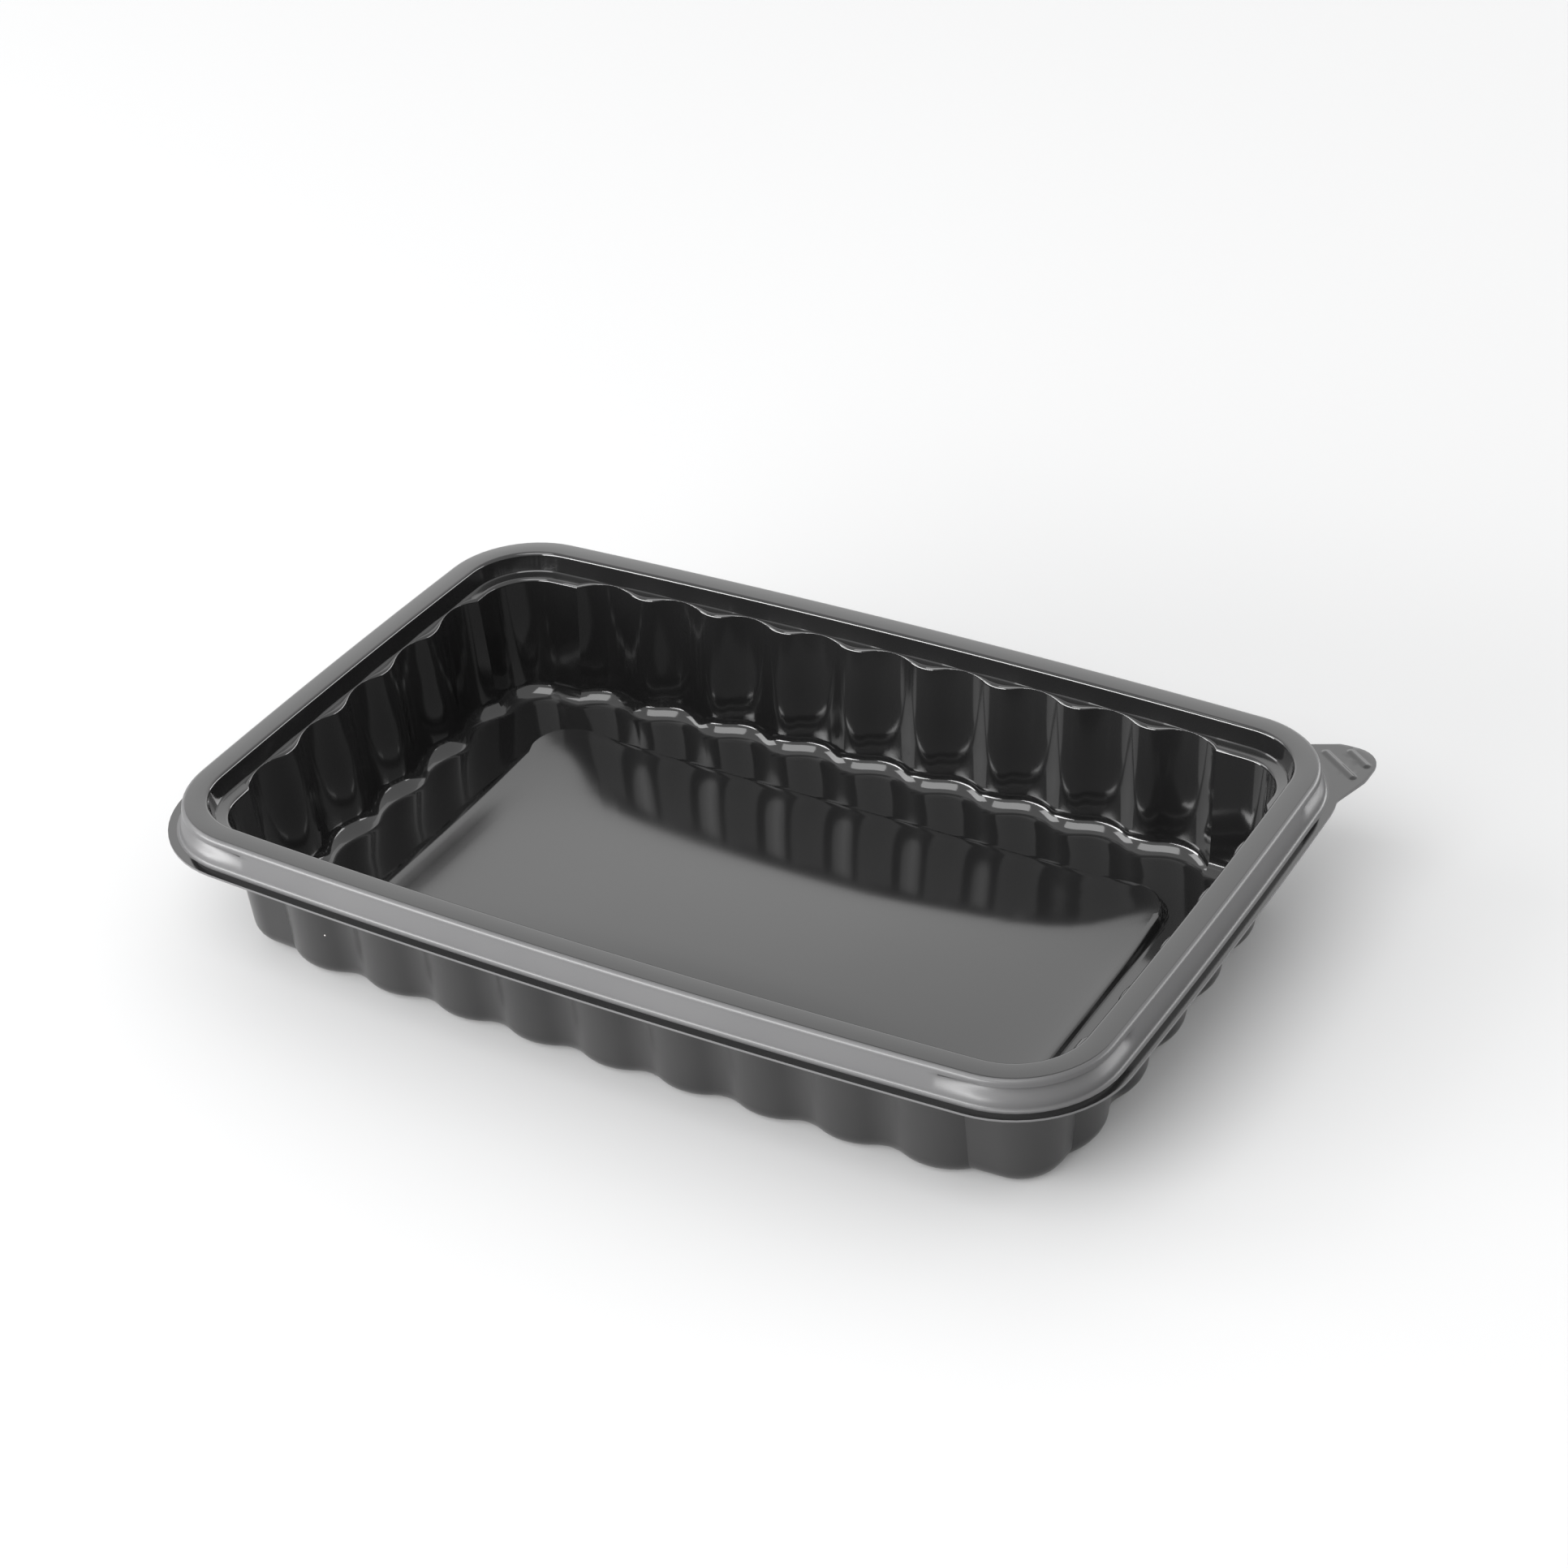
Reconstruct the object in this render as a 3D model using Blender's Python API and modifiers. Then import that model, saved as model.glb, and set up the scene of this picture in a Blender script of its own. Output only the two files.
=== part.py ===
"""Black takeaway meal tray, thermoformed in one piece from sheet: a bowed rim with a snap
groove at each corner and one lift tab, fluted walls, and a floor with a raised panel."""

from math import acos, asin, atan, cos, pi, radians, sin, sqrt, tan

import bmesh
import bpy

MM = 0.001
OBJECT_NAME = "takeaway_meal_container"
NODE_NAME = "tray"

# Sheet thickness, and the tray's height from the table to the top of its rim
THICKNESS = 0.5 * MM
HEIGHT = 36.5 * MM

# Outer edge of the rim's flat top band: half sizes, corner radius, and the half angle of
# the shallow arc by which each side bows outwards
HALF_LENGTH = 111.5 * MM
HALF_WIDTH = 72.1 * MM
CORNER_RADIUS = 21.6 * MM
LONG_BOW = radians(2.7)
SHORT_BOW = radians(1.4)

# Rim section: flat band, its two rounded edges, the outer skirt and the flange at its foot
BAND_WIDTH = 5.05 * MM
OUTER_ROUND = 1.1 * MM
INNER_ROUND = 0.8 * MM
SKIRT_DEPTH = 6.5 * MM
SKIRT_FLARE = 1.0 * MM
FOOT_ROUND = 0.8 * MM
FLANGE_REACH = 3.7 * MM

# Snap groove pressed into the skirt round each corner and a little way along both sides
GROOVE_TOP = 1.6 * MM
GROOVE_HEIGHT = 2.3 * MM
GROOVE_DEPTH = 0.9 * MM
GROOVE_LIP = 0.5 * MM
GROOVE_RUN = 6.0 * MM
GROOVE_END = 1.5 * MM

# Lift tab at the right back corner, measured from that corner's arc centre: the reach of its
# right and back edges, their rounding, and the direction and distance of the slanted edges
# that lead back to the flange
TAB_REACH_X = 27.1 * MM
TAB_REACH_Y = 27.5 * MM
TAB_ROUND = 6.5 * MM
TAB_RIGHT_SLANT = radians(-15)
TAB_RIGHT_DISTANCE = 22.0 * MM
TAB_BACK_SLANT = radians(116)
TAB_BACK_DISTANCE = 17.3 * MM

# Inside of the rim: below the band's inner edge the sheet drops to a narrow, slightly sloped
# ledge, which is wider round the corners
DROP_DEPTH = 4.6 * MM
DROP_RUN = 1.7 * MM
LEDGE_WIDTH = 0.2 * MM
LONG_CORNER_LEDGE = 3.2 * MM
SHORT_CORNER_LEDGE = 2.7 * MM
LEDGE_SLOPE = tan(radians(9.5))
LEDGE_ROUND = 0.9 * MM

# Flutes: outward lobes and narrower inward ridges, as tangent arcs, the same down the wall
LOBE_SHARE = 0.59
LONG_RIDGES = 8
LONG_PITCH = 18.9 * MM
LONG_FLUTE_DEPTH = 2.2 * MM
SHORT_RIDGES = 4
SHORT_PITCH = 18.6 * MM
SHORT_FLUTE_DEPTH = 1.95 * MM
WALL_DRAFT = radians(4.8)
FLOOR_ROUND = 4.3 * MM

# Raised panel in the floor
PANEL_LENGTH = 166.7 * MM
PANEL_WIDTH = 91.3 * MM
PANEL_RADIUS = 12.0 * MM
PANEL_RISE = 1.1 * MM
PANEL_SLOPE = 2.0 * MM

# Fineness of the solid: steps in each stretch of an outline and in each rounding
LOBE_STEPS = 2
RIDGE_STEPS = 2
LAST_LOBE_STEPS = 3
CORNER_STEPS = 9
LONG_STEPS = 4
SHORT_STEPS = 2
TAB_ROUND_STEPS = 4
PANEL_STEPS = 6
FLOOR_ROUND_STEPS = 3
LEDGE_ROUND_STEPS = 1
RIM_ROUND_STEPS = 2


def solve_bows():
    """Radii of the short and long side arcs that meet the corner arcs without a kink."""
    short_run = sin(SHORT_BOW)
    short_sag = 1 - cos(SHORT_BOW)
    long_run = sin(LONG_BOW)
    long_sag = 1 - cos(LONG_BOW)
    width = HALF_WIDTH - CORNER_RADIUS * (1 - long_sag - short_run)
    length = HALF_LENGTH - CORNER_RADIUS * (1 - short_sag - long_run)
    scale = short_run * long_run - short_sag * long_sag
    short_radius = (width * long_run - length * long_sag) / scale
    long_radius = (length * short_run - width * short_sag) / scale
    return short_radius, long_radius


SHORT_RADIUS, LONG_RADIUS = solve_bows()
CORNER_X = HALF_LENGTH - SHORT_RADIUS * (1 - cos(SHORT_BOW)) - CORNER_RADIUS * cos(SHORT_BOW)
CORNER_Y = (SHORT_RADIUS - CORNER_RADIUS) * sin(SHORT_BOW)
CORNER_END = pi / 2 - LONG_BOW

# Directions of the rim's outward normal between which the snap groove has its full depth
GROOVE_START = SHORT_BOW - GROOVE_RUN / SHORT_RADIUS
GROOVE_STOP = CORNER_END + GROOVE_RUN / LONG_RADIUS

# The frame's origin is the middle of the whole outline, tab included
CENTER_X = (CORNER_X + TAB_REACH_X - HALF_LENGTH - FLANGE_REACH) / 2
CENTER_Y = (CORNER_Y + TAB_REACH_Y - HALF_WIDTH - FLANGE_REACH) / 2


def rim_point(angle):
    """Point of the band's outer edge whose outward normal has this angle, in one quarter."""
    if angle < SHORT_BOW:
        return HALF_LENGTH - SHORT_RADIUS * (1 - cos(angle)), SHORT_RADIUS * sin(angle)
    if angle > CORNER_END:
        return LONG_RADIUS * cos(angle), HALF_WIDTH - LONG_RADIUS * (1 - sin(angle))
    return CORNER_X + CORNER_RADIUS * cos(angle), CORNER_Y + CORNER_RADIUS * sin(angle)


def spread(start, end, steps):
    """Evenly spaced values after start, up to and including end."""
    return [start + (end - start) * step / steps for step in range(1, steps + 1)]


def flute_arcs(pitch, depth):
    """Lobe radius, ridge radius and half width of a lobe, for arcs that meet tangentially."""
    meeting_angle = 2 * atan(2 * depth / pitch)
    radius_sum = pitch / 2 / sin(meeting_angle)
    lobe = LOBE_SHARE * radius_sum
    return lobe, radius_sum - lobe, lobe * sin(meeting_angle)


def fluted_half_side(pitch, ridges, depth, corner_ledge):
    """(distance from the side's middle, inset) pairs, from a lobe's middle to the corner."""
    lobe, ridge, half_lobe = flute_arcs(pitch, depth)
    half_ridge = pitch / 2 - half_lobe
    lobe_angle = asin(half_lobe / lobe)
    lobe_part = [(lobe * sin(a), lobe * (1 - cos(a))) for a in spread(0, lobe_angle, LOBE_STEPS)]
    ridge_part = [
        (half_ridge - ridge * sin(a), depth - ridge * (1 - cos(a)))
        for a in spread(lobe_angle, 0, RIDGE_STEPS)
    ]
    rising = lobe_part + [(half_lobe + s, inset) for s, inset in ridge_part]
    falling = [(pitch - s, inset) for s, inset in reversed([(0, 0)] + rising[:-1])]
    points = [(0, 0)]
    for index in range(ridges // 2):
        points += [(index * pitch + s, inset) for s, inset in rising + falling]
    last_angle = acos(1 - (corner_ledge - LEDGE_WIDTH) / lobe)
    middle = ridges // 2 * pitch
    for angle in spread(0, last_angle, LAST_LOBE_STEPS):
        points.append((middle + lobe * sin(angle), lobe * (1 - cos(angle))))
    return [(s, LEDGE_WIDTH + inset) for s, inset in points]


def fluted_quarter():
    """(angle, inset) pairs of the ledge's inner edge, over one quarter of the outline."""
    short_side = fluted_half_side(
        SHORT_PITCH, SHORT_RIDGES, SHORT_FLUTE_DEPTH, SHORT_CORNER_LEDGE
    )
    long_side = fluted_half_side(LONG_PITCH, LONG_RIDGES, LONG_FLUTE_DEPTH, LONG_CORNER_LEDGE)
    stations = [(asin(s / SHORT_RADIUS), inset) for s, inset in short_side]
    stations += [(SHORT_BOW, SHORT_CORNER_LEDGE)]
    for angle in spread(SHORT_BOW, CORNER_END, CORNER_STEPS):
        share = (angle - SHORT_BOW) / (CORNER_END - SHORT_BOW)
        inset = SHORT_CORNER_LEDGE + share * (LONG_CORNER_LEDGE - SHORT_CORNER_LEDGE)
        stations.append((angle, inset))
    return stations + [(acos(s / LONG_RADIUS), inset) for s, inset in reversed(long_side)]


def tab_outline():
    """(angle, reach) of the lift tab's points about its corner's arc centre, flange to flange."""
    edges = [(TAB_RIGHT_SLANT, TAB_RIGHT_DISTANCE)]
    for facing in [0] + spread(0, pi / 2, TAB_ROUND_STEPS):
        run_x = (TAB_REACH_X - TAB_ROUND) * cos(facing)
        run_y = (TAB_REACH_Y - TAB_ROUND) * sin(facing)
        edges.append((facing, run_x + run_y + TAB_ROUND))
    edges.append((TAB_BACK_SLANT, TAB_BACK_DISTANCE))
    flange = CORNER_RADIUS + FLANGE_REACH
    points = [(TAB_RIGHT_SLANT + acos(TAB_RIGHT_DISTANCE / flange), flange)]
    for (facing, distance), (next_facing, next_distance) in zip(edges, edges[1:]):
        x = distance * sin(next_facing) - next_distance * sin(facing)
        y = next_distance * cos(facing) - distance * cos(next_facing)
        turn = sin(next_facing - facing)
        points.append((atan(y / x), sqrt(x * x + y * y) / turn))
    points.append((TAB_BACK_SLANT - acos(TAB_BACK_DISTANCE / flange), flange))
    return points


def rim_angles(corner_angles):
    """Angles of the rim's stations over one quarter of the outline."""
    short_end = GROOVE_START - GROOVE_END / SHORT_RADIUS
    long_end = GROOVE_STOP + GROOVE_END / LONG_RADIUS
    angles = [0] + spread(0, short_end, SHORT_STEPS) + [GROOVE_START, SHORT_BOW]
    angles += corner_angles + [CORNER_END, GROOVE_STOP]
    return angles + [long_end] + spread(long_end, pi / 2, LONG_STEPS)


def rim_stations():
    """Stations of the rim, where the corner with the lift tab takes those of the tab."""
    plain = spread(SHORT_BOW, CORNER_END, CORNER_STEPS)[:-1]
    tab = [angle for angle, reach in tab_outline()]
    tab.append((tab[-1] + CORNER_END) / 2)
    quarters = [rim_angles(tab)] + [rim_angles(plain)] * 3
    return full_turn([[(angle, 0) for angle in quarter] for quarter in quarters])


def full_turn(quarters):
    """Stations right round the outline: rim point, outward direction, inset and quadrant."""
    stations = []
    mirrors = ((1, 1, 1), (-1, 1, -1), (-1, -1, 1), (1, -1, -1))
    for quadrant, (side_x, side_y, order) in enumerate(mirrors):
        for angle, inset in quarters[quadrant][::order][:-1]:
            x, y = rim_point(angle)
            direction = (side_x * cos(angle), side_y * sin(angle))
            stations.append(((side_x * x, side_y * y), direction, inset, angle, quadrant))
    return stations


def groove_at(angle):
    """Depth of the snap groove at a station."""
    return GROOVE_DEPTH if GROOVE_START <= angle <= GROOVE_STOP else 0


def tab_at(angle, quadrant):
    """How far the lift tab reaches past the band's outer edge at a station."""
    reach = dict(tab_outline()).get(angle, 0) if quadrant == 0 else 0
    return reach - CORNER_RADIUS


def add_ring(mesh, stations, offset, height, flutes=0, groove=0, tab=False, slope=0):
    """Closed row of vertices at an offset from the band's edge and a height above the table."""
    row = []
    for (x, y), (dx, dy), inset, angle, quadrant in stations:
        out = offset - flutes * inset - groove * groove_at(angle)
        if tab:
            out = max(out, tab_at(angle, quadrant))
        row.append(mesh.verts.new((x + out * dx, y + out * dy, height - slope * inset)))
    return row


def add_panel_ring(mesh, half_length, half_width, radius, height):
    """Closed row of vertices round a rounded rectangle at the middle of the floor."""
    row = []
    for side_x, side_y, turn in ((1, 1, 0), (-1, 1, 1), (-1, -1, 2), (1, -1, 3)):
        for angle in [0] + spread(0, pi / 2, PANEL_STEPS):
            facing = angle + turn * pi / 2
            x = side_x * (half_length - radius) + radius * cos(facing)
            y = side_y * (half_width - radius) + radius * sin(facing)
            row.append(mesh.verts.new((x, y, height)))
    return row


def join_rings(mesh, lower, upper):
    """Faces between two closed rows with a vertex for each vertex of the other."""
    for i in range(len(lower)):
        j = (i + 1) % len(lower)
        mesh.faces.new((lower[i], lower[j], upper[j], upper[i]))


def ring_edges(mesh, row):
    """The edges of a closed row, made where they aren't there yet."""
    pairs = [(row[i - 1], row[i]) for i in range(len(row))]
    return [mesh.edges.get(pair) or mesh.edges.new(pair) for pair in pairs]


def rounding(center_offset, center_height, radius, start, end, steps):
    """(offset, height) pairs of an arc in the rim's or wall's section, start included."""
    angles = [start] + spread(start, end, steps)
    return [(center_offset + radius * cos(a), center_height + radius * sin(a)) for a in angles]


def rim_rows():
    """(offset, height, groove share) rows of the rim's section, flange edge first."""
    flange_top = HEIGHT - SKIRT_DEPTH
    foot = rounding(
        SKIRT_FLARE + FOOT_ROUND, flange_top + FOOT_ROUND, FOOT_ROUND, -pi / 2, -pi, RIM_ROUND_STEPS
    )
    rows = [(FLANGE_REACH, flange_top, 0)] + [(offset, height, 0) for offset, height in foot]
    slope = SKIRT_FLARE / (SKIRT_DEPTH - FOOT_ROUND - OUTER_ROUND)
    groove_rows = (
        (GROOVE_TOP + GROOVE_HEIGHT, 0),
        (GROOVE_TOP + GROOVE_HEIGHT - GROOVE_LIP, 1),
        (GROOVE_TOP + GROOVE_LIP, 1),
        (GROOVE_TOP, 0),
    )
    for depth, share in groove_rows:
        rows.append((slope * (depth - OUTER_ROUND), HEIGHT - depth, share))
    top = rounding(-OUTER_ROUND, HEIGHT - OUTER_ROUND, OUTER_ROUND, 0, pi / 2, RIM_ROUND_STEPS)
    rows += [(offset, height, 0) for offset, height in top]
    inner = rounding(
        -BAND_WIDTH, HEIGHT - INNER_ROUND, INNER_ROUND, pi / 2, pi, RIM_ROUND_STEPS
    )
    return rows + [(offset, height, 0) for offset, height in inner]


def wall_rows():
    """(offset, height) rows of the fluted wall's section, ledge edge first, floor last."""
    edge_height = HEIGHT - DROP_DEPTH
    edge_offset = -BAND_WIDTH - DROP_RUN
    edge = rounding(
        edge_offset + LEDGE_ROUND,
        edge_height - LEDGE_ROUND,
        LEDGE_ROUND,
        pi / 2,
        pi + WALL_DRAFT,
        LEDGE_ROUND_STEPS,
    )
    floor_center = THICKNESS + FLOOR_ROUND
    tangent_height = floor_center - FLOOR_ROUND * sin(WALL_DRAFT)
    tangent_offset = edge_offset - tan(WALL_DRAFT) * (edge_height - tangent_height)
    center_offset = tangent_offset - FLOOR_ROUND * cos(WALL_DRAFT)
    foot = rounding(
        center_offset, floor_center, FLOOR_ROUND, -WALL_DRAFT, -pi / 2, FLOOR_ROUND_STEPS
    )
    return edge + foot


def build_surface():
    """Mesh of the tray's open upper surface, from the flange's edge to the middle of the floor."""
    mesh = bmesh.new()
    rim = rim_stations()
    fluted = full_turn([fluted_quarter()] * 4)
    previous = None
    for offset, height, groove in rim_rows():
        row = add_ring(mesh, rim, offset, height, groove=groove, tab=previous is None)
        if previous:
            join_rings(mesh, previous, row)
        previous = row

    ledge_corner = add_ring(mesh, fluted, -BAND_WIDTH - DROP_RUN, HEIGHT - DROP_DEPTH)
    drop_edges = ring_edges(mesh, previous) + ring_edges(mesh, ledge_corner)
    bmesh.ops.bridge_loops(mesh, edges=drop_edges)
    previous = ledge_corner
    for index, (offset, height) in enumerate(wall_rows()):
        slope = LEDGE_SLOPE if index == 0 else 0
        row = add_ring(mesh, fluted, offset, height, flutes=1, slope=slope)
        join_rings(mesh, previous, row)
        previous = row

    half_length = PANEL_LENGTH / 2
    half_width = PANEL_WIDTH / 2
    panel_foot = add_panel_ring(mesh, half_length, half_width, PANEL_RADIUS, THICKNESS)
    moat_edges = ring_edges(mesh, previous) + ring_edges(mesh, panel_foot)
    bmesh.ops.triangle_fill(mesh, use_beauty=True, edges=moat_edges)
    panel_edge = add_panel_ring(
        mesh,
        half_length - PANEL_SLOPE,
        half_width - PANEL_SLOPE,
        PANEL_RADIUS - PANEL_SLOPE,
        THICKNESS + PANEL_RISE,
    )
    join_rings(mesh, panel_foot, panel_edge)
    panel = mesh.faces.new(panel_edge)
    bmesh.ops.recalc_face_normals(mesh, faces=mesh.faces)
    panel.normal_update()
    if panel.normal.z < 0:
        bmesh.ops.reverse_faces(mesh, faces=mesh.faces)
    return mesh


def build_tray(collection):
    """The whole tray: its upper surface, given the sheet's thickness by Solidify."""
    surface = build_surface()
    data = bpy.data.meshes.new(NODE_NAME)
    surface.to_mesh(data)
    surface.free()
    tray = bpy.data.objects.new(NODE_NAME, data)
    collection.objects.link(tray)
    tray.location = (-CENTER_X, -CENTER_Y, 0)
    data.materials.append(black_plastic())
    data.shade_smooth()
    data.set_sharp_from_angle(angle=radians(35))
    sheet = tray.modifiers.new("sheet", "SOLIDIFY")
    sheet.thickness = THICKNESS
    sheet.offset = -1
    sheet.use_even_offset = True
    return tray


def black_plastic():
    """Glossy black polypropylene sheet."""
    material = bpy.data.materials.new("black_plastic")
    material.use_nodes = True
    shader = material.node_tree.nodes["Principled BSDF"]
    shader.inputs["Base Color"].default_value = (0.012, 0.012, 0.013, 1)
    shader.inputs["Roughness"].default_value = 0.22
    shader.inputs["Metallic"].default_value = 0
    return material


for old in list(bpy.data.objects):
    bpy.data.objects.remove(old, do_unlink=True)
parts = bpy.data.collections.new(OBJECT_NAME)
bpy.context.scene.collection.children.link(parts)
build_tray(parts)
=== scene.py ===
from math import acos, asin, atan, cos, hypot, inf, pi, radians, sin, tan

import bmesh
import bpy
import numpy as np
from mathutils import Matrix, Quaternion, Vector


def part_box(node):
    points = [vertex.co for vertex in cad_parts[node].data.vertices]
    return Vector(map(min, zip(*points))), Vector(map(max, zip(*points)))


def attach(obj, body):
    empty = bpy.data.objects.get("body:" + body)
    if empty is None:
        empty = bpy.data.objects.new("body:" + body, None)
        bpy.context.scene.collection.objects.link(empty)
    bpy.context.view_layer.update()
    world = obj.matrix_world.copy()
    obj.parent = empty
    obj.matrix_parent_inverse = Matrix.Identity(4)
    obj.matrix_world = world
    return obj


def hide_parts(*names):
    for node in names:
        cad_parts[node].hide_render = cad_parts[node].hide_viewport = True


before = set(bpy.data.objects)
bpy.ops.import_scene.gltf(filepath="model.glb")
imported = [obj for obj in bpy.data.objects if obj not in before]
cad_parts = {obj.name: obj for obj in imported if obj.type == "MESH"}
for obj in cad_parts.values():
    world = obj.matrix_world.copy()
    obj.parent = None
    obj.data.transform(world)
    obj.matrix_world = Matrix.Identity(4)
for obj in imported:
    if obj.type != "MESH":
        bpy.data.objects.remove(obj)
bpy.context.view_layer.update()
MM = 0.001

# Camera. It stands to the right of the tray's long front side and looks down into it, from the
# place the photograph was taken from, with the photograph's slight tilt.
VIEW_AZIMUTH = radians(32.09)
VIEW_ELEVATION = radians(33.58)
VIEW_ROLL = radians(-3.70)
VIEW_DISTANCE = 765.9 * MM
VIEW_TARGET = Vector((-6.76 * MM, 24.82 * MM, 18.0 * MM))
SENSOR_WIDTH = 36
LENS = 78.25
NEAREST_SEEN = 10 * MM

towards_camera = Vector((
    sin(VIEW_AZIMUTH) * cos(VIEW_ELEVATION),
    -cos(VIEW_AZIMUTH) * cos(VIEW_ELEVATION),
    sin(VIEW_ELEVATION),
))
camera_data = bpy.data.cameras.new("camera")
camera_data.sensor_width = SENSOR_WIDTH
camera_data.lens = LENS
camera_data.clip_start = NEAREST_SEEN
camera = bpy.data.objects.new("camera", camera_data)
camera.location = VIEW_TARGET + VIEW_DISTANCE * towards_camera
camera.rotation_mode = "QUATERNION"
level = (-towards_camera).to_track_quat("-Z", "Y")
camera.rotation_quaternion = level @ Quaternion((0, 0, 1), VIEW_ROLL)
bpy.context.scene.collection.objects.link(camera)
bpy.context.scene.camera = camera

# Plan of the tray. Every level of the formed sheet follows one line, the outer edge of the
# rim's flat top: four sides that bow out a little, joined by round corners. A station is a
# place on that line, with its outward direction.
HALF_LENGTH = 111.5 * MM
HALF_WIDTH = 72.1 * MM
CORNER_RADIUS = 21.6 * MM
LONG_BOW = radians(2.7)
SHORT_BOW = radians(1.4)
FLANGE_REACH = 3.7 * MM
CORNER_STEPS = 14

tray_low, tray_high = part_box("tray")
RIM_HEIGHT = tray_high.z
MIDDLE = (tray_low.x + HALF_LENGTH + FLANGE_REACH, tray_low.y + HALF_WIDTH + FLANGE_REACH)


def side_radii():
    """Radii of the short and long side arcs that meet the corner arcs without a kink."""
    short_run = sin(SHORT_BOW)
    short_sag = 1 - cos(SHORT_BOW)
    long_run = sin(LONG_BOW)
    long_sag = 1 - cos(LONG_BOW)
    width = HALF_WIDTH - CORNER_RADIUS * (1 - long_sag - short_run)
    length = HALF_LENGTH - CORNER_RADIUS * (1 - short_sag - long_run)
    scale = short_run * long_run - short_sag * long_sag
    short_radius = (width * long_run - length * long_sag) / scale
    long_radius = (length * short_run - width * short_sag) / scale
    return short_radius, long_radius


SHORT_RADIUS, LONG_RADIUS = side_radii()
CORNER_X = HALF_LENGTH - SHORT_RADIUS * (1 - cos(SHORT_BOW)) - CORNER_RADIUS * cos(SHORT_BOW)
CORNER_Y = (SHORT_RADIUS - CORNER_RADIUS) * sin(SHORT_BOW)
CORNER_END = pi / 2 - LONG_BOW


def rim_point(angle):
    """Point of the rim's outer edge whose outward normal has this angle, in one quarter."""
    if angle < SHORT_BOW:
        return HALF_LENGTH - SHORT_RADIUS * (1 - cos(angle)), SHORT_RADIUS * sin(angle)
    if angle > CORNER_END:
        return LONG_RADIUS * cos(angle), HALF_WIDTH - LONG_RADIUS * (1 - sin(angle))
    return CORNER_X + CORNER_RADIUS * cos(angle), CORNER_Y + CORNER_RADIUS * sin(angle)


def spread(start, end, steps):
    """Evenly spaced values after start, up to and including end."""
    return [start + (end - start) * step / steps for step in range(1, steps + 1)]


def eased(share):
    """Smooth rise from 0 to 1 over the same range of share."""
    share = np.clip(share, 0, 1)
    return share * share * (3 - 2 * share)


class Stations:
    """Places right round the plan: point, outward direction, normal angle and quarter."""

    def __init__(self, quarters):
        rows = []
        mirrors = ((1, 1, 1), (-1, 1, -1), (-1, -1, 1), (1, -1, -1))
        for quarter, (side_x, side_y, order) in enumerate(mirrors):
            for angle, inset in quarters[quarter][::order][:-1]:
                x, y = rim_point(angle)
                rows.append((side_x * x, side_y * y, side_x * cos(angle), side_y * sin(angle),
                             angle, inset, quarter, side_x, side_y))
        table = np.array(rows)
        self.point = table[:, 0:2]
        self.out = table[:, 2:4]
        self.angle = table[:, 4]
        self.inset = table[:, 5]
        self.quarter = table[:, 6].astype(int)
        self.side = table[:, 7:9]

    def row(self, offset, height):
        """Points of one level, at an offset and a height that may differ along it."""
        offset = np.broadcast_to(offset, len(self.angle))
        plan = self.point + self.out * offset[:, None] + MIDDLE
        return np.column_stack([plan, np.broadcast_to(height, len(self.angle))])


# Flutes of the wall. The mould presses the sheet in and out down the wall's whole height, in
# broad lobes and narrower ridges, as arcs that run into each other. They stiffen the thin
# plastic: eight ridges stand on a long side and four on a short one.
LEDGE_WIDTH = 0.2 * MM
LONG_CORNER_LEDGE = 3.2 * MM
SHORT_CORNER_LEDGE = 2.7 * MM
LOBE_SHARE = 0.59
LONG_RIDGES = 8
LONG_PITCH = 18.9 * MM
LONG_FLUTE_DEPTH = 2.2 * MM
SHORT_RIDGES = 4
SHORT_PITCH = 18.6 * MM
SHORT_FLUTE_DEPTH = 1.95 * MM
LOBE_STEPS = 5
RIDGE_STEPS = 4


def fluted_half_side(pitch, ridges, depth, corner_ledge):
    """(distance from the side's middle, inset) pairs, from a lobe's middle to the corner."""
    meeting_angle = 2 * atan(2 * depth / pitch)
    radius_sum = pitch / 2 / sin(meeting_angle)
    lobe = LOBE_SHARE * radius_sum
    ridge = radius_sum - lobe
    half_lobe = lobe * sin(meeting_angle)
    half_ridge = pitch / 2 - half_lobe
    rising = [
        (lobe * sin(a), lobe * (1 - cos(a))) for a in spread(0, meeting_angle, LOBE_STEPS)
    ]
    rising += [
        (half_lobe + half_ridge - ridge * sin(a), depth - ridge * (1 - cos(a)))
        for a in spread(meeting_angle, 0, RIDGE_STEPS)
    ]
    falling = [(pitch - s, inset) for s, inset in reversed([(0, 0)] + rising[:-1])]
    points = [(0, 0)]
    for index in range(ridges // 2):
        points += [(index * pitch + s, inset) for s, inset in rising + falling]
    last_angle = acos(1 - (corner_ledge - LEDGE_WIDTH) / lobe)
    middle = ridges // 2 * pitch
    for angle in spread(0, last_angle, LOBE_STEPS + 1):
        points.append((middle + lobe * sin(angle), lobe * (1 - cos(angle))))
    return [(s, LEDGE_WIDTH + inset) for s, inset in points]


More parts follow.
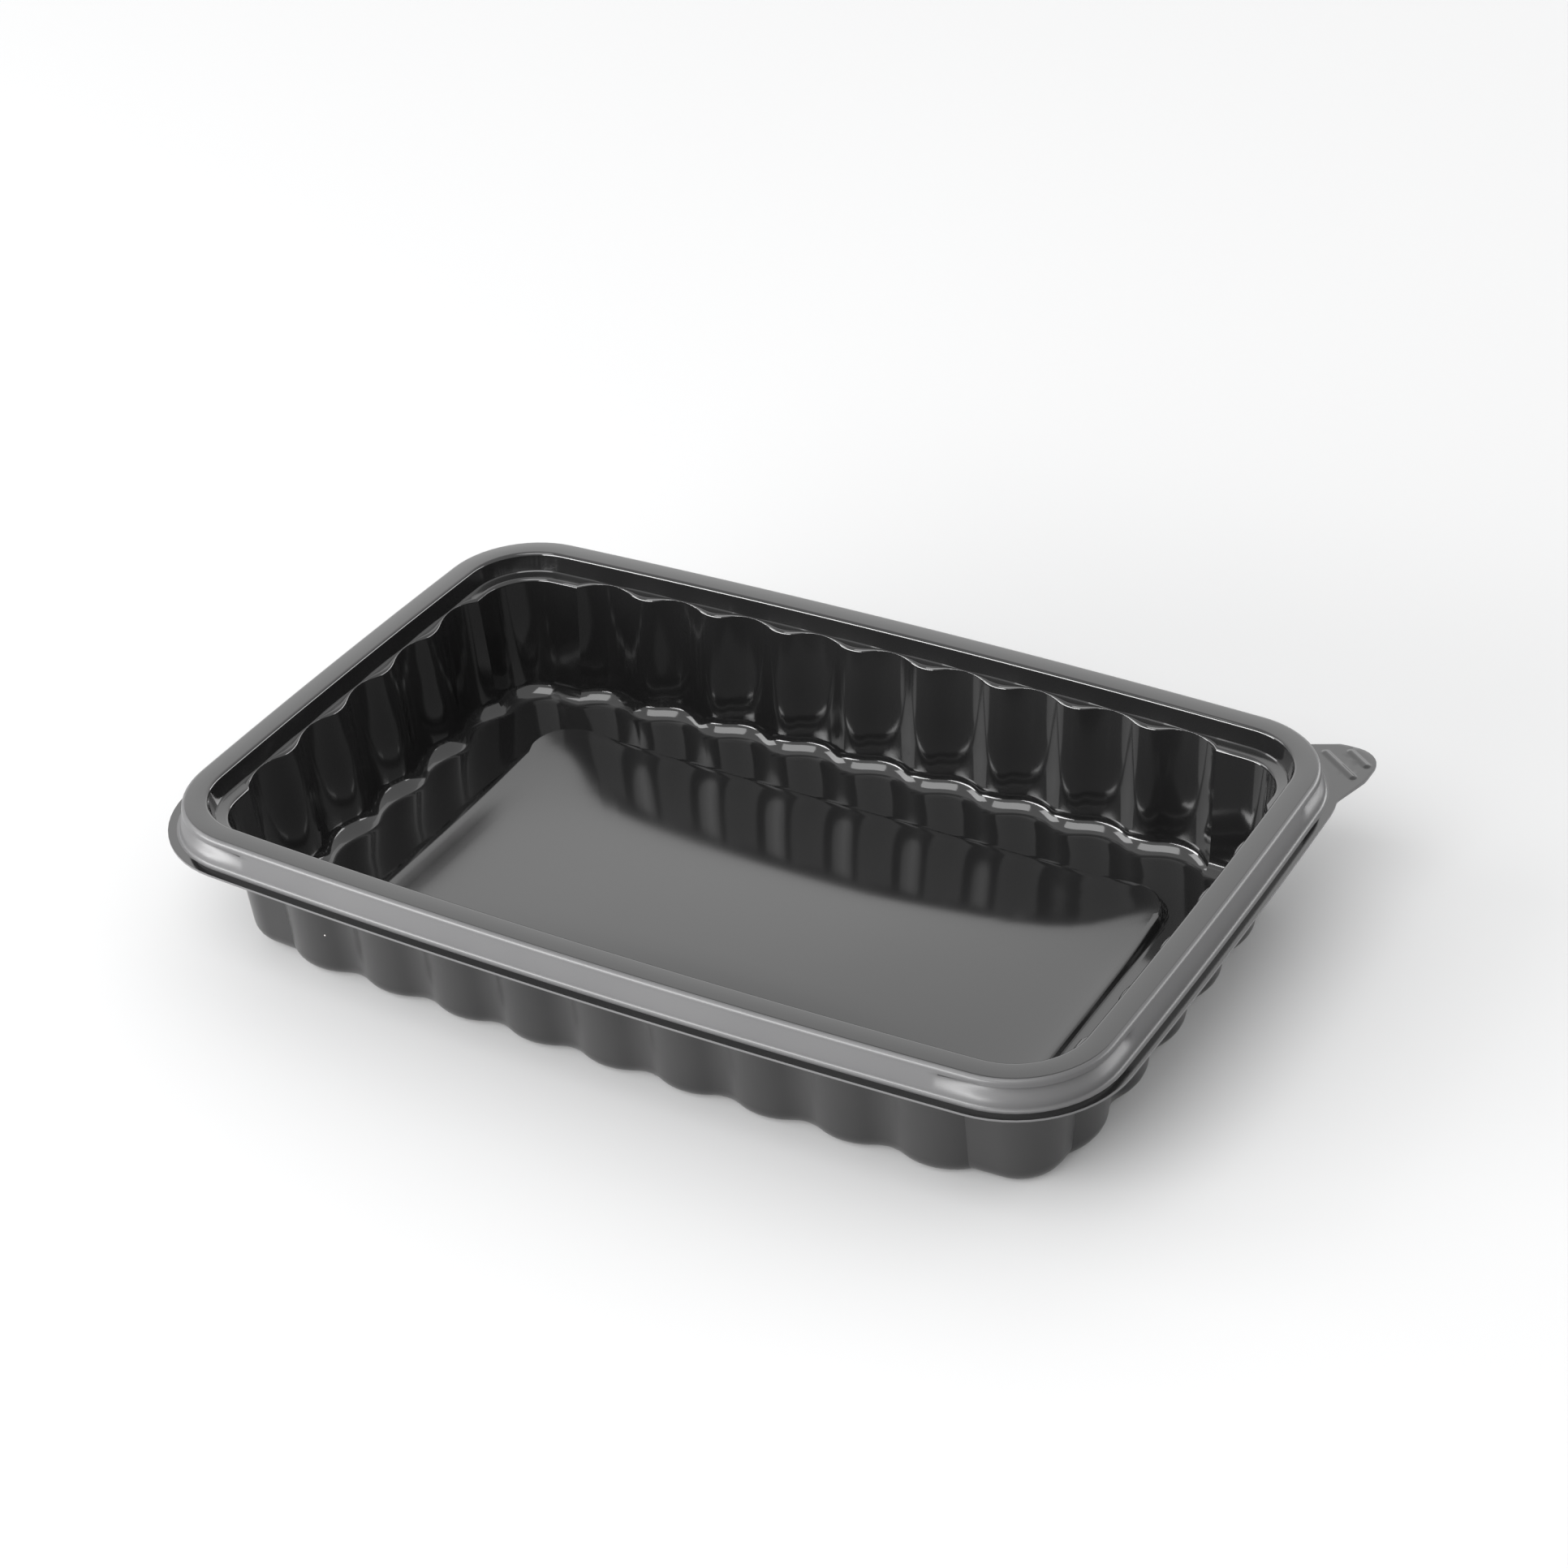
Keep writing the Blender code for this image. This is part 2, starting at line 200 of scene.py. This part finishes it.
def fluted_quarter(corner_steps):
    """(angle, inset) pairs of the wall's plan over one quarter of the outline."""
    short_side = fluted_half_side(
        SHORT_PITCH, SHORT_RIDGES, SHORT_FLUTE_DEPTH, SHORT_CORNER_LEDGE
    )
    long_side = fluted_half_side(LONG_PITCH, LONG_RIDGES, LONG_FLUTE_DEPTH, LONG_CORNER_LEDGE)
    quarter = [(asin(s / SHORT_RADIUS), inset) for s, inset in short_side]
    quarter.append((SHORT_BOW, SHORT_CORNER_LEDGE))
    for angle in spread(SHORT_BOW, CORNER_END, corner_steps):
        share = (angle - SHORT_BOW) / (CORNER_END - SHORT_BOW)
        inset = SHORT_CORNER_LEDGE + share * (LONG_CORNER_LEDGE - SHORT_CORNER_LEDGE)
        quarter.append((angle, inset))
    return quarter + [(acos(s / LONG_RADIUS), inset) for s, inset in reversed(long_side)]


# Flange and lift tab. After forming, the sheet is cut free with a narrow flat flange at the
# foot of the rim. It widens into a rounded tab at the right back corner, for a finger.
SKIRT_DEPTH = 6.5 * MM
SKIRT_FLARE = 1.0 * MM
FOOT_ROUND = 0.8 * MM
TAB_REACH_X = 27.1 * MM
TAB_REACH_Y = 27.5 * MM
TAB_ROUND = 6.5 * MM
TAB_RIGHT_SLANT = radians(-15)
TAB_RIGHT_DISTANCE = 22.0 * MM
TAB_BACK_SLANT = radians(116)
TAB_BACK_DISTANCE = 17.3 * MM
TAB_FINENESS = 3
TAB_FACINGS = 24
FLANGE_ROWS = 9


def tab_reach(angle):
    """How far the tab reaches past the rim's outer edge, seen from its corner's arc centre."""
    reaches = [TAB_RIGHT_DISTANCE / cos(angle - TAB_RIGHT_SLANT)]
    if angle > TAB_BACK_SLANT - pi / 2:
        reaches.append(TAB_BACK_DISTANCE / cos(angle - TAB_BACK_SLANT))
    for facing in [0] + spread(0, pi / 2, TAB_FACINGS):
        run_x = (TAB_REACH_X - TAB_ROUND) * cos(facing)
        run_y = (TAB_REACH_Y - TAB_ROUND) * sin(facing)
        if abs(angle - facing) < pi / 2:
            reaches.append((run_x + run_y + TAB_ROUND) / cos(angle - facing))
    return min(reaches) - CORNER_RADIUS


plain_quarter = fluted_quarter(CORNER_STEPS)
tab_quarter = fluted_quarter(CORNER_STEPS * TAB_FINENESS)
rim = Stations([tab_quarter, plain_quarter, plain_quarter, plain_quarter])
wall = Stations([plain_quarter] * 4)

flange_edge = np.full(len(rim.angle), FLANGE_REACH)
in_tab_corner = (rim.quarter == 0) & (rim.angle > SHORT_BOW) & (rim.angle < CORNER_END)
for index in np.nonzero(in_tab_corner)[0]:
    flange_edge[index] = max(FLANGE_REACH, tab_reach(rim.angle[index]))
flange_top = RIM_HEIGHT - SKIRT_DEPTH
foot_end = SKIRT_FLARE + FOOT_ROUND
rim_rows = []
for share in [0] + spread(0, 1, FLANGE_ROWS):
    rim_rows.append(rim.row(flange_edge + share * (foot_end - flange_edge), flange_top))


# Skirt, snap grooves and top band. The rim is a channel of the same sheet, open downwards: a
# flared skirt, a rounded shoulder and a flat top. A groove is pressed into the skirt round
# each corner, where a lid's beads snap in.
BAND_WIDTH = 5.05 * MM
OUTER_ROUND = 1.1 * MM
INNER_ROUND = 0.8 * MM
GROOVE_TOP = 1.6 * MM
GROOVE_HEIGHT = 3.4 * MM
GROOVE_ONSET = 0.5 * MM
GROOVE_DEPTH = 0.9 * MM
GROOVE_RUN = 4.7 * MM
GROOVE_END = 2.3 * MM
ROUND_STEPS = 5
GROOVE_ROWS = 11
GROOVE_CROWDING = 1.6


def rounding(center_offset, center_height, radius, start, end, steps):
    """(offset, height) pairs of an arc in the sheet's section, start left out."""
    return [
        (center_offset + radius * cos(a), center_height + radius * sin(a))
        for a in spread(start, end, steps)
    ]


groove_start = SHORT_BOW - GROOVE_RUN / SHORT_RADIUS
groove_stop = CORNER_END + GROOVE_RUN / LONG_RADIUS
past_groove = np.maximum(
    (groove_start - rim.angle) * SHORT_RADIUS, (rim.angle - groove_stop) * LONG_RADIUS
).clip(0)


def groove_press(depth):
    """How far the groove is pressed in at each station, at this depth below the rim's top."""
    below_lip = depth - GROOVE_TOP
    into = eased(below_lip / GROOVE_ONSET)
    back_out = eased((below_lip - GROOVE_ONSET) / (GROOVE_HEIGHT - GROOVE_ONSET))
    return GROOVE_DEPTH * into * (1 - back_out) * (1 - eased(past_groove / GROOVE_END))


skirt_start = len(rim_rows) - 1
for offset, height in rounding(
    foot_end, flange_top + FOOT_ROUND, FOOT_ROUND, -pi / 2, -pi, ROUND_STEPS
):
    rim_rows.append(rim.row(offset, height))
skirt_slope = SKIRT_FLARE / (SKIRT_DEPTH - FOOT_ROUND - OUTER_ROUND)
for share in [1] + spread(1, 0, GROOVE_ROWS):
    depth = GROOVE_TOP + GROOVE_HEIGHT * share ** GROOVE_CROWDING
    offset = skirt_slope * (depth - OUTER_ROUND) - groove_press(depth)
    rim_rows.append(rim.row(offset, RIM_HEIGHT - depth))
rim_rows.append(rim.row(0, RIM_HEIGHT - OUTER_ROUND))
for offset, height in rounding(
    -OUTER_ROUND, RIM_HEIGHT - OUTER_ROUND, OUTER_ROUND, 0, pi / 2, ROUND_STEPS
):
    rim_rows.append(rim.row(offset, height))
skirt_stop = len(rim_rows) - 2
band_row = wall.row(-BAND_WIDTH, RIM_HEIGHT)

# Drop and ledge. Inside the band the sheet drops almost straight to a narrow ledge, where a
# lid's plug sits. The ledge is the tops of the wall's ridges: at the lobes it all but vanishes,
# so its two rounds shrink there with it.
DROP_DEPTH = 4.6 * MM
DROP_RUN = 1.7 * MM
LEDGE_SLOPE = tan(radians(9.5))
LEDGE_CORNER = 0.6 * MM
CORNER_SHARE = 0.4
CORNER_STEPS_DOWN = 3

inner_rows = [band_row]
for offset, height in rounding(
    -BAND_WIDTH, RIM_HEIGHT - INNER_ROUND, INNER_ROUND, pi / 2, pi, ROUND_STEPS
):
    inner_rows.append(wall.row(offset, height))
ledge_line = -BAND_WIDTH - DROP_RUN
ledge_top = RIM_HEIGHT - DROP_DEPTH
corner_radius = np.minimum(LEDGE_CORNER, CORNER_SHARE * wall.inset)
corner_center = ledge_line - corner_radius
for angle in [0] + spread(0, -pi / 2, CORNER_STEPS_DOWN):
    offset = corner_center + corner_radius * cos(angle)
    inner_rows.append(wall.row(offset, ledge_top + corner_radius * (1 + sin(angle))))

# Fluted wall. From the ledge's rounded edge it leans in a little, so that the tray leaves its
# mould and nests in the next one, and it ends in the rounded foot that stands on the table.
LEDGE_ROUND = 0.9 * MM
ROUND_SHARE = 0.5
WALL_DRAFT = radians(4.8)
FLOOR_ROUND = 4.3 * MM
THICKNESS = 0.5 * MM
WALL_ROWS = 2
FOOT_STEPS = 7

edge_radius = np.minimum(LEDGE_ROUND, ROUND_SHARE * wall.inset)
edge_height = ledge_top - LEDGE_SLOPE * (wall.inset - corner_radius - edge_radius) - edge_radius
edge_center = ledge_line - wall.inset + edge_radius / cos(WALL_DRAFT)
edge_center -= tan(WALL_DRAFT) * (ledge_top - edge_height)
for angle in [pi / 2] + spread(pi / 2, pi + WALL_DRAFT, ROUND_STEPS):
    offset = edge_center + edge_radius * cos(angle)
    inner_rows.append(wall.row(offset, edge_height + edge_radius * sin(angle)))
foot_center = THICKNESS + FLOOR_ROUND
tangent_height = foot_center - FLOOR_ROUND * sin(WALL_DRAFT)
tangent_offset = ledge_line - tan(WALL_DRAFT) * (ledge_top - tangent_height)
wall_top = edge_height - edge_radius * sin(WALL_DRAFT)
for share in spread(0, 1, WALL_ROWS):
    height = wall_top + share * (tangent_height - wall_top)
    offset = ledge_line - tan(WALL_DRAFT) * (ledge_top - height)
    inner_rows.append(wall.row(offset - wall.inset, height))
for offset, height in rounding(
    tangent_offset - FLOOR_ROUND * cos(WALL_DRAFT),
    foot_center,
    FLOOR_ROUND,
    -WALL_DRAFT,
    -pi / 2,
    FOOT_STEPS,
):
    inner_rows.append(wall.row(offset - wall.inset, height))

# Floor. A flat ring stands on the table round a raised panel with rounded corners. The thin
# sheet has drawn itself out of true as it cooled in the mould: the panel is crowned towards
# the front, its edge stands up and its back corners are lifted.
PANEL_LENGTH = 166.7 * MM
PANEL_WIDTH = 91.3 * MM
PANEL_RADIUS = 12.0 * MM
PANEL_RISE = 1.1 * MM
PANEL_SLOPE = 2.0 * MM
SLOPE_ROWS = 6
PANEL_ROWS = 12
PANEL_CROWDING = 1.5
RING_INNER_ROW = 0.6 * MM
PANEL_SINK = 0.5 * MM
CROWN_RISE = 2.6 * MM
CROWN_X = 20.4 * MM
CROWN_Y = -24.0 * MM
LIP_RISE = 0.73 * MM
LIP_RUN = 3.4 * MM
LEFT_LIFT = 2.0 * MM
LEFT_LIFT_RUN = 21.0 * MM
RIGHT_LIFT = 1.9 * MM
RIGHT_LIFT_RUN = 16.6 * MM


def panel_crown(x, y, setback):
    """Height of the panel's surface over a flat one, at points of the tray's plan."""
    across = (x - CROWN_X) / (PANEL_LENGTH / 2 - CROWN_X * np.sign(x - CROWN_X))
    back = (y - CROWN_Y) / (PANEL_WIDTH / 2 - CROWN_Y * np.sign(y - CROWN_Y))
    dome = (1 - across ** 2).clip(0) ** 2 * (1 - back ** 2).clip(0) ** 2
    from_left = np.hypot(x + PANEL_LENGTH / 2, y - PANEL_WIDTH / 2)
    from_right = np.hypot(x - PANEL_LENGTH / 2, y - PANEL_WIDTH / 2)
    corners = LEFT_LIFT * np.exp(-(from_left / LEFT_LIFT_RUN) ** 2)
    corners += RIGHT_LIFT * np.exp(-(from_right / RIGHT_LIFT_RUN) ** 2)
    return CROWN_RISE * dome + LIP_RISE * np.exp(-setback / LIP_RUN) + corners - PANEL_SINK


def panel_row(setback, raised):
    """Points of the panel's outline, set back from its foot, raised by a share of its rise."""
    inward = max(setback - PANEL_SLOPE, 0) / (PANEL_WIDTH / 2 - PANEL_SLOPE)
    radius = (PANEL_RADIUS - min(setback, PANEL_SLOPE)) * (1 - inward)
    straight_x = PANEL_LENGTH / 2 - setback - radius
    straight_y = PANEL_WIDTH / 2 - setback - radius
    turn = np.interp(wall.angle, (SHORT_BOW, CORNER_END), (0, pi / 2))
    along_x = np.abs(wall.point[:, 0]) / (CORNER_X + CORNER_RADIUS * cos(CORNER_END))
    along_y = np.abs(wall.point[:, 1]) / (CORNER_Y + CORNER_RADIUS * sin(SHORT_BOW))
    x = wall.side[:, 0] * (straight_x * np.minimum(along_x, 1) + radius * np.cos(turn))
    y = wall.side[:, 1] * (straight_y * np.minimum(along_y, 1) + radius * np.sin(turn))
    rise = PANEL_RISE + panel_crown(x, y, setback)
    return np.column_stack([x + MIDDLE[0], y + MIDDLE[1], THICKNESS + raised * rise])


inner_rows.append(panel_row(-RING_INNER_ROW, 0))
for share in [0] + spread(0, 1, SLOPE_ROWS):
    inner_rows.append(panel_row(share * PANEL_SLOPE, eased(share)))
for share in spread(0, 1, PANEL_ROWS):
    setback = PANEL_SLOPE + share ** PANEL_CROWDING * (PANEL_WIDTH / 2 - PANEL_SLOPE)
    inner_rows.append(panel_row(setback, 1))

# Formed sheet. The whole tray is one piece of black polypropylene, heated and drawn into a
# mould: glossy on the face that takes the food, satin on the other, rougher on the skirt, whose
# lighter black is painted sheen. Two grip ribs are raised in the tab, and the edge is left as the
# cutter made it, with a lighter black there as a painted highlight.
RIB_TURN = radians(53)
RIB_WIDTH = 2.3 * MM
RIB_RISE = 0.4 * MM
RIB_SHIFT = -3.85 * MM
RIBS = ((27.4 * MM, 13.4 * MM), (32.3 * MM, 8.6 * MM))
RIB_CUTS = 5
SHARP_ANGLE = radians(27)
EDGE_ROUND = 0.18 * MM
EDGE_SEGMENTS = 3
EDGE_ANGLE = radians(70)
SAME_HEIGHT = 0.01 * MM
SAME_PLACE = 0.001 * MM
GLOSS_SLOT = 0
CUT_EDGE_SLOT = 2
SKIRT_SHEEN_SLOT = 3

tab_start = len(
    fluted_half_side(SHORT_PITCH, SHORT_RIDGES, SHORT_FLUTE_DEPTH, SHORT_CORNER_LEDGE)
)


def join_rows(sheet, lower, upper, slot):
    """Faces between two closed rows; the lower one may be finer at the tab's corner."""
    lower_is_finer = len(lower) > len(upper)
    low = 0
    for index, vertex in enumerate(upper):
        at_tab = tab_start <= index < tab_start + CORNER_STEPS
        step = TAB_FINENESS if lower_is_finer and at_tab else 1
        chain = [lower[(low + k) % len(lower)] for k in range(step + 1)]
        low += step
        face = sheet.faces.new(chain + [upper[(index + 1) % len(upper)], vertex])
        face.material_index = slot


tab_center = Vector((MIDDLE[0] + CORNER_X, MIDDLE[1] + CORNER_Y))
across_rib = Vector((cos(RIB_TURN), sin(RIB_TURN)))
along_rib = Vector((-sin(RIB_TURN), cos(RIB_TURN)))


def from_rib(vertex):
    """Distance of a vertex of the flange from the nearer rib's spine."""
    if abs(vertex.co.z - flange_top) > SAME_HEIGHT:
        return inf
    place = vertex.co.xy - tab_center
    run = abs(place.dot(along_rib) - RIB_SHIFT)
    return min(
        hypot(max(run - (length - RIB_WIDTH) / 2, 0), place.dot(across_rib) - distance)
        for distance, length in RIBS
    )


sheet = bmesh.new()
rows = [[sheet.verts.new(p) for p in row] for row in rim_rows + inner_rows]
for level, (lower, upper) in enumerate(zip(rows, rows[1:])):
    # The skirt and its shoulder take the finish whose lighter black is painted sheen.
    slot = SKIRT_SHEEN_SLOT if skirt_start <= level < skirt_stop else GLOSS_SLOT
    join_rows(sheet, lower, upper, slot)
bmesh.ops.remove_doubles(sheet, verts=rows[-1] + rows[-2], dist=SAME_PLACE)
rib_edges = [e for e in sheet.edges if all(from_rib(v) < RIB_WIDTH for v in e.verts)]
bmesh.ops.subdivide_edges(sheet, edges=rib_edges, cuts=RIB_CUTS, use_grid_fill=True)
for vertex in sheet.verts:
    from_spine = from_rib(vertex) / (RIB_WIDTH / 2)
    if from_spine < 1:
        vertex.co.z = flange_top + RIB_RISE * (1 - from_spine ** 2) ** 2

sheet_data = bpy.data.meshes.new("formed_sheet")
sheet.to_mesh(sheet_data)
sheet.free()
sheet_data.shade_smooth()
sheet_data.set_sharp_from_angle(angle=SHARP_ANGLE)
formed_sheet = bpy.data.objects.new("formed_sheet", sheet_data)
bpy.context.scene.collection.objects.link(formed_sheet)
thickness = formed_sheet.modifiers.new("thickness", "SOLIDIFY")
thickness.thickness = THICKNESS
thickness.offset = -1
thickness.use_even_offset = True
thickness.material_offset = 1
thickness.material_offset_rim = CUT_EDGE_SLOT
trimmed = formed_sheet.modifiers.new("trimmed", "BEVEL")
trimmed.width = EDGE_ROUND
trimmed.segments = EDGE_SEGMENTS
trimmed.limit_method = "ANGLE"
trimmed.angle_limit = EDGE_ANGLE


class Wire:
    """A socket of a finish's nodes. Sums written with it become Math nodes."""

    def __init__(self, finish, socket):
        self.finish = finish
        self.socket = socket

    def math(self, operation, first, second):
        return self.finish.node("ShaderNodeMath", {"operation": operation}, {0: first, 1: second})

    def __add__(self, other):
        return self.math("ADD", self, other)

    def __mul__(self, other):
        return self.math("MULTIPLY", self, other)

    def __gt__(self, other):
        return self.math("GREATER_THAN", self, other)

    def __lt__(self, other):
        return self.math("LESS_THAN", self, other)

    __radd__ = __add__
    __rmul__ = __mul__


class Finish:
    """A material's node tree, with one call for any node."""

    def __init__(self, name):
        self.material = bpy.data.materials.new(name)
        self.material.use_nodes = True
        self.tree = self.material.node_tree
        self.shader = self.tree.nodes["Principled BSDF"]

    def node(self, kind, settings, inputs, output=0):
        """Adds a node: its settings first, then the values or links of its sockets."""
        node = self.tree.nodes.new(kind)
        for name, value in settings.items():
            setattr(node, name, value)
        self.join(node, inputs)
        return Wire(self, node.outputs[output])

    def join(self, node, inputs):
        """Sets or links a node's sockets."""
        for name, value in inputs.items():
            if isinstance(value, Wire):
                self.tree.links.new(value.socket, node.inputs[name])
            else:
                node.inputs[name].default_value = value

    def noise(self, place, scale, detail):
        return self.node(
            "ShaderNodeTexNoise", {}, {"Vector": place, "Scale": scale, "Detail": detail}
        )


DUST_GREY = (0.30, 0.29, 0.28, 1)
COOL_TINT = 1.03
CLOUD_SCALE = 28
GRAIN_SCALE = 1400
SPECK_CELLS = 210
SMALLEST_SPECK = 0.022
SPECK_SPREAD = 0.03
CLOUD_ROUGHNESS = 0.05
SPECK_ROUGHNESS = 0.3
PLAIN_SPECULAR = 0.5
SKIRT_SPECULAR = 0.33


def plastic(name, black, roughness, haze, peel, specks, specular=PLAIN_SPECULAR):
    """Black sheet plastic: its gloss wavers with the mould's texture, and dust lies on it."""
    finish = Finish(name)
    place = finish.node("ShaderNodeTexCoord", {}, {}, "Object")
    cloud = finish.noise(place, CLOUD_SCALE, 3)
    grain = finish.noise(place, GRAIN_SCALE, 2)
    cells = {"Vector": place, "Scale": SPECK_CELLS, "Randomness": 1}
    spot = finish.node("ShaderNodeTexVoronoi", {}, cells, "Distance")
    chance = finish.node("ShaderNodeTexVoronoi", {}, cells, "Color")
    chance = finish.node("ShaderNodeSeparateColor", {}, {"Color": chance}, "Red")
    speck = (spot < SMALLEST_SPECK + SPECK_SPREAD * chance) * (chance > 1 - specks)
    colour = finish.node(
        "ShaderNodeMix",
        {"data_type": "RGBA", "clamp_factor": True},
        {
            "Factor": haze * cloud + speck,
            "A": (black, black, COOL_TINT * black, 1),
            "B": DUST_GREY,
        },
        "Result",
    )
    bump = finish.node(
        "ShaderNodeBump", {}, {"Height": grain, "Strength": 1.0, "Distance": peel}, "Normal"
    )
    finish.join(
        finish.shader,
        {
            "Base Color": colour,
            "Roughness": roughness + CLOUD_ROUGHNESS * cloud + SPECK_ROUGHNESS * speck,
            "Specular IOR Level": specular,
            "Normal": bump,
        },
    )
    return finish.material


gloss_face = plastic("gloss_face", 0.004, 0.07, 0.01, 0.0006 * MM, 0.02)
satin_face = plastic("satin_face", 0.008, 0.26, 0.03, 0.002 * MM, 0.30)
# The cut edge's lighter black and stronger haze are a painted highlight: the bright hairline
# along the flange's edge.
cut_edge_highlight = plastic("cut_edge_highlight", 0.05, 0.30, 0.10, 0.002 * MM, 0.10)
# The skirt's black is much lighter than the glossy face's: painted sheen, standing in for the
# bright light the skirt reflects.
skirt_sheen_painted = plastic(
    "skirt_sheen_painted", 0.040, 0.34, 0.05, 0.0006 * MM, 0.15, SKIRT_SPECULAR
)
for finish in (gloss_face, satin_face, cut_edge_highlight, skirt_sheen_painted, satin_face):
    sheet_data.materials.append(finish)
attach(formed_sheet, "root")
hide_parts("tray")

# Table and light. The tray stands on a wide pale table in a bright plain surround. Soft lamps
# stand to the left, high in front, behind, and low at the left front and the right.
TABLE_GREY = 0.33
TABLE_TINT = 1.005
TABLE_ROUGHNESS = 0.9
TABLE_HALF_SIZE = 6
SURROUND = 1.5
LAMP_DISTANCE = 1.5

table_mesh = bmesh.new()
bmesh.ops.create_grid(table_mesh, x_segments=1, y_segments=1, size=TABLE_HALF_SIZE)
table_data = bpy.data.meshes.new("table")
table_mesh.to_mesh(table_data)
table_mesh.free()
table = bpy.data.objects.new("table", table_data)
bpy.context.scene.collection.objects.link(table)
table_paint = Finish("table_paint")
table_paint.join(
    table_paint.shader,
    {
        "Base Color": (TABLE_GREY, TABLE_GREY, TABLE_TINT * TABLE_GREY, 1),
        "Roughness": TABLE_ROUGHNESS,
    },
)
table_data.materials.append(table_paint.material)

world = bpy.data.worlds.new("surround")
world.use_nodes = True
backdrop = world.node_tree.nodes["Background"]
backdrop.inputs["Color"].default_value = (1, 1, 1, 1)
backdrop.inputs["Strength"].default_value = SURROUND
bpy.context.scene.world = world
bpy.context.scene.view_settings.view_transform = "Standard"


def lamp(name, direction, width, height, radiance):
    """A soft rectangular lamp in a direction seen from the tray, facing it."""
    data = bpy.data.lights.new(name, "AREA")
    data.shape = "RECTANGLE"
    data.size = width
    data.size_y = height
    data.energy = radiance * pi * width * height
    light = bpy.data.objects.new(name, data)
    light.location = LAMP_DISTANCE * Vector(direction).normalized()
    light.rotation_mode = "QUATERNION"
    light.rotation_quaternion = (-light.location).to_track_quat("-Z", "Y")
    bpy.context.scene.collection.objects.link(light)


lamp("left_lamp", (-0.805, -0.295, 0.513), 0.80, 0.60, 6)
lamp("front_lamp", (0.03, -0.577, 0.813), 1.20, 1.10, 5)
lamp("low_lamp", (-0.50, -0.87, 0.17), 1.80, 0.48, 25)
lamp("right_lamp", (0.66, 0.74, 0.17), 1.60, 0.48, 8)
lamp("back_lamp", (-0.443, 0.706, 0.553), 1.80, 1.30, 0.9)
